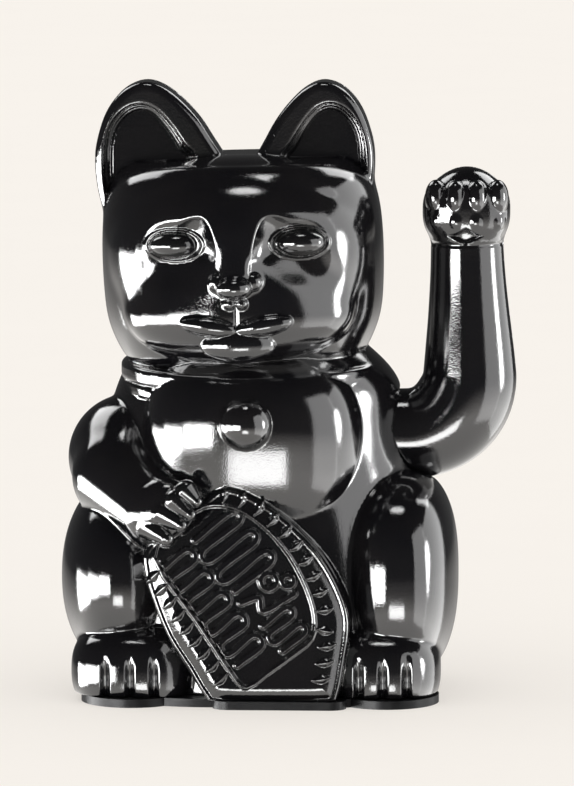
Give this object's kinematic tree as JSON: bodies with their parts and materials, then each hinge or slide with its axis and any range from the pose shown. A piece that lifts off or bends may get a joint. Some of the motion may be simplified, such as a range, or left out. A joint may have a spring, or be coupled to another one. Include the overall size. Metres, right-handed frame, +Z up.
{
  "type": "beckoning cat figurine",
  "caption": "Glossy black sitting cat figurine holding an oval coin, with a raised arm that rocks on a battery-driven pendulum.",
  "frame": {"origin": "middle of the underside that the cat stands on", "axes": "+Z up, the cat faces -Y, its raised left arm is on +X; the arm turns about a line along X at y 2 mm, z 62.5 mm"},
  "size_m": [0.1114, 0.0837, 0.1504],
  "materials": {
    "black_lustre": "mirror-bright black lustre coat on moulded plastic",
    "black_plastic": "glossy black moulded plastic",
    "white_plastic": "matte natural white moulding",
    "nylon": "matte nylon",
    "steel": "zinc plated steel",
    "nickel": "nickel plate",
    "copper_wire": "enamelled copper wire",
    "board_resin": "green solder mask",
    "component_black": "matte black",
    "resistor_tan": "matte tan lacquer",
    "red_cover": "soft red wire cover",
    "yellow_cover": "soft yellow wire cover",
    "cell_jacket": "plain printed jacket without lettering"
  },
  "bodies": {
    "cat": {"aa_cell": "cell_jacket", "base_plate": "black_plastic", "base_screws": "steel", "board_screws": "steel", "capacitor": "component_black", "circuit_board": "board_resin", "coil_bobbin": "white_plastic", "coil_winding": "copper_wire", "frame_screws": "steel", "front_shell": "black_lustre", "inner_bush": "nylon", "mechanism_frame": "white_plastic", "negative_wire": "component_black", "outer_bush": "nylon", "plate_contact": "nickel", "positive_wire": "red_cover", "rear_shell": "black_lustre", "resistors": "resistor_tan", "spring_contact": "nickel", "switch_housing": "black_plastic", "switch_wire": "yellow_cover", "transistor": "component_black"},
    "arm": {"arm_front_half": "black_lustre", "arm_rear_half": "black_lustre", "arm_hub": "white_plastic", "axle": "steel", "pendulum_lever": "white_plastic", "pendulum_magnet": "nickel", "counterweight": "steel"},
    "door": {"battery_door": "black_plastic"},
    "switch": {"switch_slider": "nylon"}
  },
  "joints": [
    {"name": "arm_swing", "type": "hinge", "parent": "cat", "child": "arm", "pos_m": [0.0075, 0.002, 0.0625], "axis": [1, 0, 0], "range_deg": [-25, 30]},
    {"name": "door_slide", "type": "slide", "parent": "cat", "child": "door", "axis": [0, 1, 0], "range_m": [0, 0.06]},
    {"name": "switch_slide", "type": "slide", "parent": "cat", "child": "switch", "axis": [0, 1, 0], "range_m": [0, 0.002]}
  ]
}
